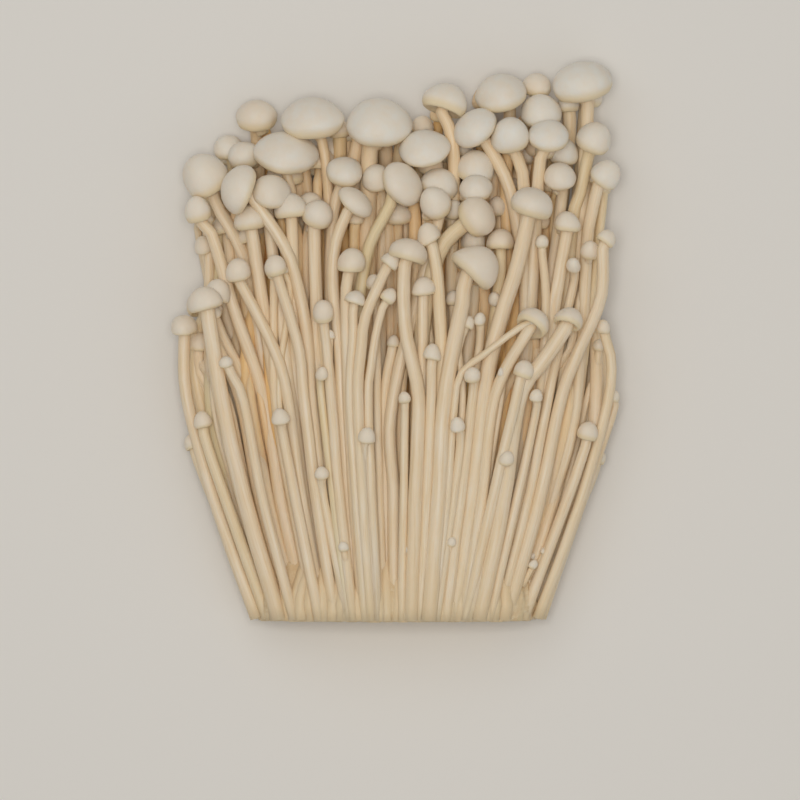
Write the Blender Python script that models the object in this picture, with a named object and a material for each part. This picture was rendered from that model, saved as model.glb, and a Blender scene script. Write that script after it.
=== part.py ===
"""A bunch of enoki mushrooms lying down: a fused base with a cut end, fanned stems and rounded caps.

It grew as one piece, so it is one closed solid. Everything below is in millimetres until it
becomes a mesh. +Y runs from the cut end to the caps, +X to the right, +Z up, with Z = 0 the
surface that the bunch lies on.
"""

import math
import random
from collections import namedtuple

import bmesh
import bpy
from mathutils import Matrix, Vector

MM = 0.001

CUT_Y = -75.0  # the plane where the bunch was cut off
ROOT_Y = -69.0  # where the stems end inside the base
KNEE_Y = -42.0  # a level where the stems start to lean in towards the base
GATHER_Y = -15.0  # a level that every long stem passes
ROOT_SPREAD = 0.70  # how far apart the stems stand at their roots, against the gather level
KNEE_SPREAD = 0.87  # the same at the knees, against the gather level
HEAD_SPREAD = 0.84  # the same at the gather level, against the caps
FOOT_LOW_Z = 2.6  # the lowest and highest that a stem passes the gather level
FOOT_HIGH_Z = 25.2
ROOT_MIDDLE_Z = 12.4  # the stems stand round this height in an oval at their roots
ROOT_HALF_WIDTH = 44.0
ROOT_HALF_THICKNESS = 10.4
STEM_FLARE = 1.16  # a stem's thickness at the gather level, against its neck

# The fused base: stations along Y with half width, half thickness and middle height.
BASE_STATIONS = (
    (-75.0, 38.0, 12.2, 12.0),
    (-70.0, 40.5, 13.0, 12.4),
    (-63.0, 39.5, 12.6, 12.2),
    (-54.0, 37.5, 9.6, 12.2),
    (-40.0, 35.0, 7.0, 12.2),
    (-31.0, 28.0, 3.0, 12.2),
)
BASE_SIDES = 14

# Rings of a cap, from under its rim to its crown: place along its height, share of its radius.
FULL_CAP = ((-0.36, 0.74), (-0.08, 1.0), (0.26, 0.86), (0.51, 0.42))
FULL_CAP_SIDES = 6
SMALL_CAP = ((-0.36, 0.72), (-0.01, 1.0), (0.46, 0.52))
SMALL_CAP_SIDES = 5
SMALL_CAP_WIDTH = 8.8
FACET_ALLOWANCE = 1.07  # a ring of few sides is drawn this much larger than the round it stands for

STEM_SIDES = 4
STEM_ALLOWANCE = 1.08
STEM_STEP = 30.0  # the length of one straight run of a stem

UNDER_COUNT = 30
UNDER_REACH = 53.0
UNDER_SPREAD = 0.97
UNDER_SEED = 11
LYING_PRESS = 0.35  # how far the lowest caps are pressed flat by lying on them

Mushroom = namedtuple("Mushroom", "x y z width height lean tip stem way")


def grown(x, y, z, width, height, lean=0.0, tip=15.0, stem=3.2, way=()):
    """One mushroom: its cap's middle, the cap's width and seen height, and the stem's way down.

    lean turns the crown from +Y towards +X and tip lifts it towards +Z, both in degrees. way holds
    the places (x, y) that the stem passes, from under the cap to the gather level.
    """
    return Mushroom(x, y, z, width, height, lean, tip, stem, way)


BACK_ROW = (
    grown(-37.7, 61, 9, 11, 8, 0, 25, 3.0),
    grown(-22.8, 60.1, 15, 17.2, 10.8, -3, 25, 3.0, ((-20.3, 54.1), (-18.4, 38.9), (-17, -15))),
    grown(-4.8, 59.1, 17, 17.6, 12.8, 3, 35, 4.2, ((-6.4, 51.5), (-7.5, 46.7), (-8.5, -15))),
    grown(-45.3, 52.4, 8, 8, 6, -10, 20, 2.8),
    grown(-41, 50, 11, 9, 7, -15, 20, 2.8),
    grown(7, 58, 9, 6, 5, 5, 20, 2.6),
    grown(13, 64.8, 15, 11.8, 8, 15, -9, 3.4, ((12.8, 62.1), (15.2, 47.5), (13, -15))),
    grown(27.7, 67, 14, 14.4, 9.6, -14, 25, 3.4),
    grown(37.5, 69, 9, 8, 6, 5, 20, 3.0),
    grown(49.7, 69.8, 13, 16.2, 10.2, -13, 20, 3.4, ((50.9, 63.5), (50.9, 58.9), (46, -15))),
    grown(38.5, 62, 14, 11, 8.5, -5, 30, 3.2),
)

SECOND_ROW = (
    grown(-29.6, 51, 16, 17.2, 11.3, 8, 30, 3.4, ((-29.5, 44), (-28.3, 37), (-25.5, -15))),
    grown(-51.8, 44.8, 15, 12, 10.5, -30, 20, 3.2, ((-48.3, 36.3), (-40.5, 20.8), (-33.9, -14.4))),
    grown(-13.9, 45.4, 18, 9.8, 7.1, 15, 30, 3.2, ((-16, 41.3), (-17.6, 29.1), (-17.5, -15))),
    grown(-5.3, 44, 17, 8.2, 6.6, -10, 30, 3.0),
    grown(1.8, 42, 22, 12.6, 9, 60, 35, 3.6, ((-1.8, 36.3), (-7.7, 24.3), (-10.4, 6.7), (-11, -15))),
    grown(7.3, 51.9, 19, 13.6, 9.6, -10, 35, 3.4),
    grown(20.4, 57.5, 18, 12.8, 8.8, -42, 30, 3.4, ((24.8, 51.5), (30.1, 40.5), (33.6, 21.1), (38, -15))),
    grown(30, 55.4, 19, 10.4, 8.8, -12, 35, 3.4, ((31.2, 49.9), (33.9, 40.5), (34, -15))),
    grown(21.2, 46.9, 15, 10.3, 8, 15, 15, 3.2),
    grown(11.5, 42.2, 17, 10.2, 7.8, 20, 20, 3.2),
    grown(40.4, 55.3, 19, 11, 7.8, -3, 35, 3.2, ((38.9, 50.7), (37.6, 41.3), (34, -15))),
    grown(44.7, 51, 11, 8.4, 7, 5, 20, 3.0),
    grown(52.9, 54.6, 15, 9.5, 7.8, 22, 25, 3.2, ((50.4, 50.1), (49.1, 40.5), (46.7, 29.9), (43, -15))),
    grown(56, 44.9, 16, 8, 7, 35, 15, 3.2, ((54.1, 41.9), (52, 34.1), (50.9, 26.7), (48, -15))),
    grown(43.5, 44.2, 18, 8.6, 6.9, -3, 35, 3.2),
    grown(27, 36.3, 12, 5.5, 5, 0, 20, 2.6),
)

THIRD_ROW = (
    grown(-42.8, 40.7, 22, 13.2, 8, -65, 15, 3.4, ((-36, 34.6), (-30, 25.3), (-27.3, 17.6), (-24.2, 3.5), (-22.7, -14.4))),
    grown(-33.5, 40.3, 21, 11, 8.3, 5, 30, 3.2),
    grown(-53.4, 35.3, 18, 7, 7.3, -15, 20, 3.2, ((-49.8, 29.2), (-46.9, 20), (-43.2, 7.5), (-35.7, -14.4))),
    grown(-28.5, 36, 20, 9, 6.5, -5, 5, 3.2, ((-28, 30), (-26.5, -15))),
    grown(-39.1, 32.9, 19, 9, 6.5, -5, 5, 3.2, ((-38.7, 29.3), (-32, -15))),
    grown(-21, 34.1, 21, 8.3, 7, 20, 30, 3.2, ((-21, 30.4), (-21.8, 18.9), (-20.6, -15))),
    grown(-23.2, 37, 15, 6.6, 5.4, 0, 15, 2.6),
    grown(-10.8, 37.3, 23, 10.4, 5.8, 43, 20, 3.4, ((-13.6, 33.2), (-16.6, 25.4), (-17, 14.4), (-15.5, 0.7), (-14.7, -15))),
    grown(0.4, 34.1, 15, 7, 5.5, 0, 20, 2.6),
    grown(10, 37, 23, 8.5, 8.8, -25, 40, 3.2, ((5.9, 35.2), (1.6, 28), (-1, -15))),
    grown(21, 41, 19, 9, 7, -10, 30, 3.2),
    grown(21.7, 33.3, 23, 10.9, 8, 62, 25, 3.8, ((17.3, 30.7), (11.2, 23.7), (7, 5), (6, -15))),
    grown(15.2, 35.2, 17, 5, 5, 0, 20, 2.6),
    grown(36, 36.9, 24, 11.8, 7.3, 15, 15, 4.0, ((35.5, 32.5), (32.2, 20.8), (26.2, 1.1), (23.2, -15.5))),
    grown(45.5, 32, 20, 7.2, 5, 3, 10, 3.2, ((44.5, 29.3), (41.6, 7.5), (39, -15))),
    grown(-52, 26, 9, 5, 4.5, -10, 20, 2.6),
)

FRONT_ROW = (
    grown(8, 28.5, 25, 6.4, 5.3, -25, 10, 3.2, ((8.5, 26.4), (10.9, 15.5), (11.7, 0), (11.5, -15))),
    grown(3.2, 24, 27, 10.6, 5.8, 18, 0, 3.8, ((3.1, 20), (1.8, 11.9), (2.3, 2.1), (5.6, -14.9))),
    grown(-1.5, 21.5, 27, 5.1, 4, 32, 0, 3.0, ((-2.4, 20.8), (-8.3, 6.7), (-9.6, -2.1), (-10.4, -14.9))),
    grown(-12, 21.5, 25, 7.5, 6, 9, 5, 3.0, ((-12.5, 18.4), (-13.6, 14.1), (-13, -15))),
    grown(21.8, 20.3, 26, 13.6, 9.2, 45, 0, 4.5, ((19.8, 16.6), (17.5, 10.1), (15.7, 2.1), (12.7, -14.9))),
    grown(27.5, 27, 19, 7.5, 5.6, 0, 0, 3.0),
    grown(20.4, 27.3, 17, 6.7, 6, 0, 10, 2.8),
    grown(7, 14.5, 25, 6.4, 4.8, 0, 5, 2.8, ((7, 12), (6.5, -15))),
    grown(-2, 12, 26, 4.4, 4, 39, 0, 2.5, ((-3.2, 10.1), (-5.6, 2.1), (-6.9, -6.7), (-7.7, -14.9))),
    grown(-11, 11.5, 26, 5.6, 3.6, 18, 0, 2.6, ((-11.2, 10.7), (-11.7, 2.1), (-12.5, -14.9))),
    grown(9.5, -3, 27, 4.9, 4.3, 8, 5, 2.6, ((9.2, -5), (9, -15))),
    grown(-19.6, 8, 26, 5.6, 5.6, 0, 30, 2.8, ((-20, 5.1), (-18.7, -2.1), (-17.6, -14.9))),
    grown(-20, -8.5, 27, 3.5, 3.4, 0, 30, 2.4),
    grown(36.6, 5.1, 25, 9, 6.6, 35, -12, 3.2, ((34.7, 0.8), (25.9, -14.9))),
    grown(45.9, 6.1, 26, 7.6, 5.6, 22, -8, 4.0, ((45.1, 4.5), (38.8, -5.5), (32.5, -15.5))),
    grown(33.8, -7.6, 27, 5.4, 4.6, 20, 5, 2.8, ((32.3, -9.3), (27.5, -15.5))),
    grown(20, -9, 27, 4.3, 4, 0, 25, 2.6),
    grown(55, 4, 18, 4, 3.5, 0, 20, 2.6, ((55.2, 2.1), (57.1, -3.5), (56.5, -12.3))),
    grown(47, 20.5, 22, 4, 4.8, 0, 50, 2.6),
    grown(51.5, 24.5, 19, 5, 4.8, 10, 40, 2.6),
    grown(56, 27.5, 22, 5.2, 4, 35, -5, 3.2, ((55.7, 25.3), (54.4, 12), (48, -3.5), (43.7, -15.5))),
    grown(38.6, 26.6, 21, 3.5, 3.4, 0, 30, 2.3, ((38.9, 25.3), (39.7, 9.3), (38, -15))),
    grown(-32.5, 20, 25, 5.9, 5.3, -15, 15, 2.8, ((-31.7, 17.3), (-26.4, -1.3), (-24.8, -14.4))),
    grown(-42.5, 19, 22, 6.7, 5.9, -10, 20, 3.0, ((-41.6, 15.5), (-33.1, -1.3), (-29.1, -14.4))),
    grown(-51.3, 11.2, 23, 9.4, 6.2, -14, 5, 3.9, ((-50.4, 8), (-46.9, -14.4))),
    grown(-57, 4.5, 15, 7.2, 4.8, -3, 20, 3.2, ((-57.3, 1.9), (-56.3, -14.4))),
    grown(-45.5, -5.5, 25, 3.7, 2.8, -5, 20, 2.6, ((-44.5, -6.7), (-41.1, -14.4))),
    grown(26, 11.5, 21, 3.5, 4, 0, 45, 2.3),
    grown(22, 6, 24, 3.3, 3.3, 0, 30, 2.2),
)


LOW_ROW = (
    grown(2, -15, 27, 3.2, 3, 0, 15, 2.3),
    grown(37, -14.5, 25, 3.6, 3.2, 5, 20, 2.4),
    grown(58, -14.5, 14, 3.4, 3, 8, 15, 2.4),
    grown(-31, -20, 26, 5, 4.2, -8, 20, 2.6),
    grown(-8, -25, 27, 4.6, 4, 5, 20, 2.4),
    grown(16, -22, 27.5, 4, 3.6, -5, 25, 2.4),
    grown(-52, -21, 18, 5.2, 4.4, -12, 5, 2.8),
    grown(-55, -27, 10, 4.6, 4, -18, -5, 2.6),
    grown(51, -24, 19, 5.6, 4.8, 14, 10, 2.8),
    grown(54, -31, 9, 4.4, 3.8, 18, 0, 2.6),
    grown(29, -31, 26, 4.2, 3.6, 6, 25, 2.4),
    grown(-20, -35, 26, 3.8, 3.2, -4, 30, 2.4),
)


def under_layer():
    """The mushrooms on the side that the bunch lies on, spread evenly with a seeded draw."""
    draw = random.Random(UNDER_SEED)
    layer = []
    for number in range(UNDER_COUNT):
        share = (number * 0.618034) % 1.0
        x = UNDER_REACH * (2.0 * share - 1.0)
        reach = 58.0 - 0.0105 * x * x
        y = reach - draw.uniform(0.0, 58.0) * draw.uniform(0.3, 1.0)
        width = draw.uniform(5.0, 10.5) * (0.75 + 0.25 * y / 60.0)
        height = width * draw.uniform(0.7, 0.8)
        rise = draw.uniform(-2.0, 5.0) * (1.0 + (x / 40.0) ** 2)
        z = 0.5 * width + max(rise, -LYING_PRESS)
        lean = 0.35 * x + draw.uniform(-12.0, 12.0)
        tip = draw.uniform(-25.0, 5.0)
        stem = draw.uniform(2.6, 3.4)
        layer.append(grown(x, y, z, width, height, lean, tip, stem, ((UNDER_SPREAD * x, GATHER_Y),)))
    return layer


def axis_of(mushroom):
    lean, tip = math.radians(mushroom.lean), math.radians(mushroom.tip)
    return Vector((math.sin(lean) * math.cos(tip), math.cos(lean) * math.cos(tip), math.sin(tip)))


def true_height(mushroom):
    """The cap's own height, from how high it looks with its crown tipped."""
    tip = math.radians(mushroom.tip)
    hidden = 0.5 * mushroom.width * math.sin(tip)
    seen = 0.5 * mushroom.height
    along = math.sqrt(max(seen * seen - hidden * hidden, 0.3 * seen * seen)) / math.cos(tip)
    return min(2.0 * along, 0.95 * mushroom.width)


def stem_way(mushroom):
    """The places that a stem passes, from its root in the base to the middle of its cap."""
    top = Vector((mushroom.x, mushroom.y, mushroom.z))
    axis = axis_of(mushroom)
    neck = top - axis * (0.55 * true_height(mushroom))
    reach = min(max((mushroom.y - GATHER_Y) / 40.0, 0.0), 1.0)
    foot_x = mushroom.x * (1.0 - (1.0 - HEAD_SPREAD) * reach)
    if mushroom.way:
        foot_x = mushroom.way[-1][0]
    foot = Vector((foot_x, GATHER_Y, min(max(mushroom.z - 1.6, FOOT_LOW_Z), FOOT_HIGH_Z)))
    root_x = foot_x * ROOT_SPREAD
    oval = math.sqrt(max(1.0 - (root_x / ROOT_HALF_WIDTH) ** 2, 0.0))
    level = min(max(0.98 * mushroom.z - 15.1, -ROOT_HALF_THICKNESS), ROOT_HALF_THICKNESS)
    root = Vector((root_x, ROOT_Y, ROOT_MIDDLE_Z + level * oval))
    places = [root]
    if mushroom.y > GATHER_Y + 8.0:
        knee = Vector((foot_x * KNEE_SPREAD, KNEE_Y, root.z + 0.55 * (foot.z - root.z)))
        places += [knee, foot]
    for x, y in reversed(mushroom.way[:-1]):
        share = (y - GATHER_Y) / (mushroom.y - GATHER_Y)
        spot = Vector((x, y, foot.z + (neck.z - foot.z) * share))
        if (neck - spot).dot(axis) > 1.5:
            places.append(spot)
    if len(mushroom.way) < 2:
        places.append(neck - axis * 6.0)
    return places + [neck, top]


def smooth(places, step):
    """Even steps along a smooth curve through the places."""
    ends = [places[0] * 2 - places[1]] + places + [places[-1] * 2 - places[-2]]
    fine = []
    for a, b, c, d in zip(ends, ends[1:], ends[2:], ends[3:]):
        for part in range(12):
            t = part / 12
            point = b * 2 + (c - a) * t + (a * 2 - b * 5 + c * 4 - d) * t**2
            fine.append((point + (b * 3 - a - c * 3 + d) * t**3) * 0.5)
    fine.append(places[-1].copy())
    lengths = [0.0]
    for a, b in zip(fine, fine[1:]):
        lengths.append(lengths[-1] + (b - a).length)
    runs = max(2, round(lengths[-1] / step))
    even, k = [], 0
    for run in range(runs + 1):
        want = lengths[-1] * run / runs
        while k < len(fine) - 2 and lengths[k + 1] < want:
            k += 1
        part = (want - lengths[k]) / max(lengths[k + 1] - lengths[k], 1e-9)
        even.append(fine[k].lerp(fine[k + 1], min(part, 1.0)))
    return even


def loft(rings, sides):
    """A closed skin over rings of equal sides, each placed by a matrix that maps a unit circle."""
    bm = bmesh.new()
    bmesh.ops.create_circle(bm, cap_ends=False, segments=sides, radius=1.0, matrix=rings[0])
    edges = bm.edges[:]
    for near, far in zip(rings, rings[1:]):
        drawn = bmesh.ops.extrude_edge_only(bm, edges=edges)["geom"]
        verts = [part for part in drawn if isinstance(part, bmesh.types.BMVert)]
        edges = [part for part in drawn if isinstance(part, bmesh.types.BMEdge)]
        bmesh.ops.transform(bm, matrix=far @ near.inverted(), verts=verts)
    bmesh.ops.holes_fill(bm, edges=bm.edges[:], sides=sides)
    bmesh.ops.recalc_face_normals(bm, faces=bm.faces[:])
    return bm


def placed(bm, name, collection):
    """An object of the finished shape, in metres."""
    bmesh.ops.scale(bm, vec=(MM, MM, MM), verts=bm.verts[:])
    mesh = bpy.data.meshes.new(name)
    bm.to_mesh(mesh)
    bm.free()
    piece = bpy.data.objects.new(name, mesh)
    collection.objects.link(piece)
    return piece


def stem_shape(mushroom):
    way = smooth(stem_way(mushroom), STEM_STEP)
    rings = []
    turn = Vector((0, 1, 0)).to_track_quat("Z", "X")
    for k, place in enumerate(way):
        ahead = way[min(k + 1, len(way) - 1)] - way[max(k - 1, 0)]
        turn = (turn @ Vector((0, 0, 1))).rotation_difference(ahead) @ turn
        share = k / (len(way) - 1)
        radius = 0.5 * mushroom.stem * STEM_ALLOWANCE * (STEM_FLARE - (STEM_FLARE - 1.0) * share)
        rings.append(Matrix.LocRotScale(place, turn, (radius, radius, 1.0)))
    return loft(rings, STEM_SIDES)


def cap_shape(mushroom):
    small = mushroom.width < SMALL_CAP_WIDTH
    profile, sides = (SMALL_CAP, SMALL_CAP_SIDES) if small else (FULL_CAP, FULL_CAP_SIDES)
    height = true_height(mushroom)
    radius = 0.5 * mushroom.width * FACET_ALLOWANCE
    axis = axis_of(mushroom)
    turn = axis.to_track_quat("Z", "X")
    middle = Vector((mushroom.x, mushroom.y, mushroom.z))
    rings = []
    for along, share in profile:
        size = (radius * share, radius * share, 1.0)
        rings.append(Matrix.LocRotScale(middle + axis * (height * along), turn, size))
    bm = loft(rings, sides)
    for vert in bm.verts:
        vert.co.z = max(vert.co.z, 0.0)
    return bm


def base_shape():
    """The fused base: a flattened oval of grown-together stems, cut flat at its end and under it."""
    rings = []
    turn = Vector((0, 1, 0)).to_track_quat("Z", "X")
    for y, half_width, half_thickness, middle in BASE_STATIONS:
        across = Matrix.Diagonal((half_thickness, half_width, 1.0, 1.0))
        rings.append(Matrix.LocRotScale(Vector((0, y, middle)), turn, None) @ across)
    bm = loft(rings, BASE_SIDES)
    everything = bm.verts[:] + bm.edges[:] + bm.faces[:]
    bmesh.ops.bisect_plane(bm, geom=everything, plane_co=(0, 0, 0), plane_no=(0, 0, 1), clear_inner=True)
    bmesh.ops.holes_fill(bm, edges=bm.edges[:])
    bmesh.ops.recalc_face_normals(bm, faces=bm.faces[:])
    return bm


def fuse(body, repeats):
    """Joins the repeats to the body in one union, applies it and removes them."""
    union = body.modifiers.new("union", "BOOLEAN")
    union.operation = "UNION"
    union.operand_type = "COLLECTION"
    union.collection = repeats
    union.solver = "MANIFOLD"
    evaluated = body.evaluated_get(bpy.context.evaluated_depsgraph_get())
    joined = bpy.data.meshes.new_from_object(evaluated)
    body.modifiers.remove(union)
    body.data = joined
    for piece in list(repeats.objects):
        bpy.data.objects.remove(piece)
    bpy.data.collections.remove(repeats)


def islands(bm):
    """The separate skins of a mesh, as lists of faces."""
    left = set(bm.faces)
    found = []
    while left:
        start = left.pop()
        skin, edge = [start], [start]
        while edge:
            face = edge.pop()
            for side in face.edges:
                for other in side.link_faces:
                    if other in left:
                        left.remove(other)
                        skin.append(other)
                        edge.append(other)
        found.append(skin)
    return found


def keep_outer_skin(body):
    """Fills the hollows that the union sealed and drops its scraps: only the largest skin stays."""
    bm = bmesh.new()
    bm.from_mesh(body.data)
    skins = sorted(islands(bm), key=len)
    spare = [face for skin in skins[:-1] for face in skin]
    bmesh.ops.delete(bm, geom=spare, context="FACES")
    bmesh.ops.triangulate(bm, faces=bm.faces[:])
    bm.to_mesh(body.data)
    bm.free()


def mushroom_flesh():
    material = bpy.data.materials.new("enoki_flesh")
    material.use_nodes = True
    shader = material.node_tree.nodes["Principled BSDF"]
    shader.inputs["Base Color"].default_value = (0.66, 0.55, 0.38, 1.0)
    shader.inputs["Roughness"].default_value = 0.5
    shader.inputs["Metallic"].default_value = 0.0
    return material


def main():
    for piece in list(bpy.data.objects):
        bpy.data.objects.remove(piece)
    scene = bpy.context.scene.collection
    repeats = bpy.data.collections.new("mushrooms")
    scene.children.link(repeats)
    grove = list(BACK_ROW + SECOND_ROW + THIRD_ROW + FRONT_ROW + LOW_ROW) + under_layer()
    for number, mushroom in enumerate(grove):
        placed(stem_shape(mushroom), f"stem_{number:03d}", repeats)
        placed(cap_shape(mushroom), f"cap_{number:03d}", repeats)
    bunch = placed(base_shape(), "enoki_bunch", scene)
    fuse(bunch, repeats)
    keep_outer_skin(bunch)
    bunch.data.materials.clear()
    bunch.data.materials.append(mushroom_flesh())


main()
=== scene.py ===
import math
import random
from collections import namedtuple

import bmesh
import bpy
from mathutils import Euler, Matrix, Vector, noise


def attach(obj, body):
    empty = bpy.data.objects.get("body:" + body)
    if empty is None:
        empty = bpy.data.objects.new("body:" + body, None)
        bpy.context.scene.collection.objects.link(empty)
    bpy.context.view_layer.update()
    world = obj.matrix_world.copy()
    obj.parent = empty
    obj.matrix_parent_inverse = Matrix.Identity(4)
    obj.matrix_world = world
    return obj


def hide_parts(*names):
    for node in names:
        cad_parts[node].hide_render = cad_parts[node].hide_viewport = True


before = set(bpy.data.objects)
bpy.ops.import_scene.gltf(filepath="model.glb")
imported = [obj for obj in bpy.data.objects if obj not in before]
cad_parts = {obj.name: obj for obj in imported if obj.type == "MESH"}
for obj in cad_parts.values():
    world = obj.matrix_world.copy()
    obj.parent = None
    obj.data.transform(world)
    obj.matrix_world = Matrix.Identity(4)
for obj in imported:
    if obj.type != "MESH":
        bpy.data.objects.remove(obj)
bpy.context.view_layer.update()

# A bunch of enoki mushrooms lying down, seen from above. The layout is in millimetres, with +Y
# from the cut end to the caps, +X to the right and +Z up from the surface that it lies on.
MM = 0.001

CUT_Y = -75.0  # the plane where the bunch was cut off
ROOT_Y = -69.0  # where the stems end inside the base
KNEE_Y = -42.0  # a level where the stems start to lean in towards the base
GATHER_Y = -15.0  # a level that every long stem passes
LONG_FROM = 8.0  # a stem is long if its cap stands this far above that level
DRAWN_IN_Y = 25.0  # caps above this have their stems drawn in the most at that level
ROOT_SPREAD = 0.70  # how far apart the stems stand at their roots, against the gather level
KNEE_SPREAD = 0.87  # the same at the knees, against the gather level
HEAD_SPREAD = 0.84  # the same at the gather level, against the caps
FOOT_DROP = 1.6  # how much lower than its cap a stem passes the gather level
FOOT_LOW_Z = 2.6  # the lowest and highest that it passes there
FOOT_HIGH_Z = 25.2
ROOT_MIDDLE_Z = 12.4  # the stems stand round this height in an oval at their roots
ROOT_HALF_WIDTH = 44.0
ROOT_HALF_THICKNESS = 10.4
ROOT_RISE = 0.98  # how much higher a root stands for each millimetre of its cap's height
ROOT_DROP = 15.1  # the height of a cap whose root stands in the middle, times that rise
KNEE_RISE = 0.55  # how much of its rise from root to gather level a stem has at the knee
END_GAP = 0.6  # how far above the cut plane the stems' own ends stop
NECK_SHARE = 0.55  # how far below its middle a cap's neck is, as a share of its height
NECK_CLEAR = 1.5  # a stem's way leaves out the places that are nearer its neck than this
NECK_RUN = 6.0  # how far a stem with no way of its own runs straight down from its neck
STEM_FLARE = 1.16  # a stem's thickness at its root, against its neck
LEAN_SPREAD = 12.0  # how many degrees a cap drawn at random leans off its stem's fan
GOLDEN_SHARE = 0.618034  # numbered things placed this far apart on a round spread evenly

# The mushrooms on the side that the bunch lies on.
UNDER_COUNT = 30
UNDER_SEED = 11
UNDER_REACH = 53.0  # how far out to either side their caps lie
UNDER_TOP_Y = 58.0  # how far up they reach in the middle
UNDER_ROUND = 0.0105  # how much less far they reach for each square millimetre out
UNDER_SPREAD = 0.97  # how far apart their stems stand at the gather level, against the caps
LYING_PRESS = 0.35  # how far the lowest caps are pressed flat by lying on them

# The mushrooms deep in the bunch, and the painted shade on all that stand deeper: a warmer, browner colour
# for the light bounced in the gaps between the stems.
DEEP_COUNT = 420
DEEP_SEED = 23
DEEP_WIDTHS = (0.4, 0.75)  # their caps' widths, as shares of the caps that hide them
DEEP_HEIGHT = 0.76  # their caps' heights, as a share of their widths
DEEP_STEMS = (2.6, 3.8)  # how thick their stems are, though never more than the next share
DEEP_STEM_MOST = 0.62  # a stem's thickness against its cap's width
RISEN_Z = (11.0, 17.5)  # how high their stems pass the gather level
CAP_CROWDING = 0.36  # how near two caps stand, as a share of both their widths
WIDE_ENOUGH = 5.5  # a front cap this wide can hide a smaller one
GAP_SHADE_FROM_Z = 24.0  # below this height the mushrooms get painted shade, warm and browner
GAP_SHADE_AT_Z = 10.0  # from here down the painted shade is strongest
GAP_SHADE_FADES_X = 36.0  # further out than this the painted shade on the deep mushrooms fades
GAP_SHADE_GONE_X = 52.0  # from here on they have no painted shade and are as pale as the ones in front
WARM_FROM_Y = 50.0  # nearer the base than this the caps turn warmer
WARM_AT_Y = 32.0  # from here on they are warmest, and their rims sharper
SEEN_GAP_SHADE = 0.45  # how strong the painted shade gets on the deepest of the mushrooms in front, out of one
UNDER_GAP_SHADE = 0.4  # the same for those underneath and in the gaps
# the same painted shade for the deep layer, at full strength
DEEP_GAP_SHADE = 1.0

# How finely the mushrooms are made: sides and rings of a cap by its width, and of a stem.
LARGE_CAP = (52, 12)
MIDDLE_CAP = (36, 10)
SMALL_CAP = (24, 8)
LARGE_FROM = 9.0
MIDDLE_FROM = 5.6
STEM_SIDES = 12
STEM_STEP = 4.0
PATTERN_RADIUS = 1.6  # how far out the patterns run round a stem, thick or thin

# The caps' own shape, in a unit frame where a cap is 1 high and 1 from its axis to its rim.
CAP_RISE = 0.04  # how far a cap sits forward on its axis
OPENED_TIP = -8.0  # a cap tipped back further than this shows its underside
OPENED_RIM = (-0.26, -0.18)  # how high the widest place is, in an opened cap and in another
CLOSED_RIM = (-0.24, -0.08)
OPENED_LIP = 0.78  # where the rim turns in under the cap, in an opened one and in another
CLOSED_LIP = (0.62, 0.82)
OPENED_HOLLOW = 0.22  # how far up inside the gills lie, in an opened cap and in another
CLOSED_HOLLOW = 0.12
CROWN_PEAK = (0.88, 1.25)  # from round to slightly pointed crowns
FRONT_RIM_DROP = 0.08  # how much lower and sharper the rims of the front caps are

# The fused base: stations along Y with half width, half thickness and middle height.
BASE_STATIONS = (
    (-74.7, 36.4, 10.8, 12.2),
    (-70.0, 37.4, 10.9, 12.2),
    (-66.0, 37.0, 10.0, 12.2),
    (-61.0, 35.6, 8.2, 12.0),
    (-55.0, 33.0, 5.6, 11.6),
    (-48.0, 28.0, 2.6, 11.2),
)
BASE_SIDES = 144
BASE_STEP = 0.9
BASE_RIBS = 46  # low ridges all round it
BASE_RIDGE = 0.022  # how high they stand, as a share of the base's own size there
BASE_FUZZ = 0.018  # the same for the felt's unevenness
RIB_COUNT = 84  # short stems round the base
RIB_STEPS = 8
RIB_LENGTHS = (18.0, 38.0)
RIB_THICKNESSES = (2.8, 3.8)
RIB_SINK = 0.10  # how much deeper in the base their upper ends are
STUB_PITCH = 3.8  # how far apart the cut stem ends stand in their rows
STUB_ROW_PITCH = 0.866 * STUB_PITCH
STUB_MARGIN = 1.6  # how far inside the base's edge they stay
STUB_SIDES = 12
STUB_RADII = (1.5, 2.1)

# The tiny mushrooms at the foot of the stems.
PIN_COUNT = 50
PIN_FOOT_Y = (-66.0, -44.0)
PIN_LENGTHS = (4.0, 13.0)
PIN_WIDTHS = (1.5, 2.8)
PIN_STEP = 2.5

LOOKS_SEED = 5

Mushroom = namedtuple("Mushroom", "x y z width height lean tip stem way")


def grown(x, y, z, width, height, lean, tip, stem, way=()):
    """One mushroom: its cap's middle, the cap's width and seen height, and the stem's way down.

    lean turns the crown from +Y towards +X and tip lifts it towards +Z, both in degrees. way holds
    the places (x, y) that the stem passes, from under the cap to the gather level.
    """
    return Mushroom(x, y, z, width, height, lean, tip, stem, way)


BACK_ROW = (
    grown(-37.7, 61, 9, 11, 8, 0, 25, 3.0),
    grown(-22.8, 60.1, 15, 17.2, 10.8, -3, 25, 3.0, ((-20.3, 54.1), (-18.4, 38.9), (-17, -15))),
    grown(-4.8, 59.1, 17, 17.6, 12.8, 3, 35, 4.2, ((-6.4, 51.5), (-7.5, 46.7), (-8.5, -15))),
    grown(-45.3, 52.4, 8, 8, 6, -10, 20, 2.8),
    grown(-41, 50, 11, 9, 7, -15, 20, 2.8),
    grown(7, 58, 9, 6, 5, 5, 20, 2.6),
    grown(13, 64.8, 15, 11.8, 8, 15, -9, 3.4, ((12.8, 62.1), (15.2, 47.5), (13, -15))),
    grown(27.7, 67, 14, 14.4, 9.6, -14, 25, 3.4),
    grown(37.5, 69, 9, 8, 6, 5, 20, 3.0),
    grown(49.7, 69.8, 13, 16.2, 10.2, -13, 20, 3.4, ((50.9, 63.5), (50.9, 58.9), (46, -15))),
    grown(38.5, 62, 14, 11, 8.5, -5, 30, 3.2),
)

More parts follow.
